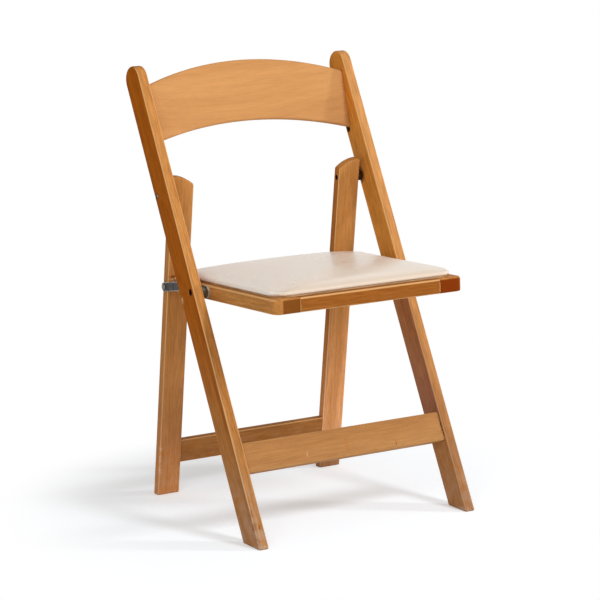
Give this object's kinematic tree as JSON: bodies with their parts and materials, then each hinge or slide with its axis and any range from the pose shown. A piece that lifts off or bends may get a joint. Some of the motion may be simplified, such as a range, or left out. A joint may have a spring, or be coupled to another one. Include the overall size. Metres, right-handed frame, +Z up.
{
  "type": "wooden folding chair",
  "caption": "Wooden folding chair with leaning posts, a curved back slat, swinging rear legs and a vinyl padded seat that lifts to fold on steel links.",
  "frame": {"origin": "on the floor, in the middle of the chair's width and depth", "axes": "+Z up, +X to the right seen from the front, the front towards -Y"},
  "size_m": [0.444, 0.4495, 0.78],
  "materials": {
    "lacquered_beech": "satin lacquer over beech",
    "dowel_beech": "raw fluted beech",
    "plywood": "raw birch plywood",
    "foam": "open-cell foam",
    "ivory_vinyl": "satin grained vinyl",
    "zinc_steel": "zinc plated"
  },
  "bodies": {
    "post_frame": {"left_post": "lacquered_beech", "right_post": "lacquered_beech", "back_slat": "lacquered_beech", "front_stretcher": "lacquered_beech", "front_stretcher_dowels": "dowel_beech", "leg_pivot_bolts": "zinc_steel", "leg_pivot_nuts": "zinc_steel", "leg_pivot_spacers": "zinc_steel"},
    "rear_leg_frame": {"left_rear_leg": "lacquered_beech", "right_rear_leg": "lacquered_beech", "rear_stretcher": "lacquered_beech", "rear_stretcher_dowels": "dowel_beech", "link_screws": "zinc_steel", "link_washers": "zinc_steel"},
    "seat": {"seat_left_rail": "lacquered_beech", "seat_right_rail": "lacquered_beech", "seat_front_rail": "lacquered_beech", "seat_rear_rail": "lacquered_beech", "seat_rail_dowels": "dowel_beech", "seat_panel": "plywood", "seat_foam": "foam", "seat_cover": "ivory_vinyl", "panel_screws": "zinc_steel", "left_seat_plate": "zinc_steel", "right_seat_plate": "zinc_steel", "plate_screws": "zinc_steel", "seat_pivot_bolts": "zinc_steel", "seat_pivot_inserts": "zinc_steel", "seat_pivot_sleeves": "zinc_steel"},
    "fold_links": {"left_fold_link": "zinc_steel", "right_fold_link": "zinc_steel", "link_studs": "zinc_steel"}
  },
  "joints": [
    {"name": "seat_lift", "type": "hinge", "parent": "post_frame", "child": "seat", "pos_m": [0, 0.00667, 0.40707], "axis": [-1, 0, 0], "range_deg": [0, 113]},
    {"name": "leg_swing", "type": "hinge", "parent": "post_frame", "child": "rear_leg_frame", "pos_m": [0, 0.12081, 0.5598], "axis": [-1, 0, 0], "range_deg": [0, 29]},
    {"name": "link_turn", "type": "hinge", "parent": "rear_leg_frame", "child": "fold_links", "pos_m": [0, 0.14285, 0.39237], "axis": [1, 0, 0], "range_deg": [0, 71.21]}
  ],
  "couplings": [
    {"joint": "leg_swing", "follows": "seat_lift", "ratio": 0.25664},
    {"joint": "link_turn", "follows": "seat_lift", "ratio": 0.63016}
  ]
}
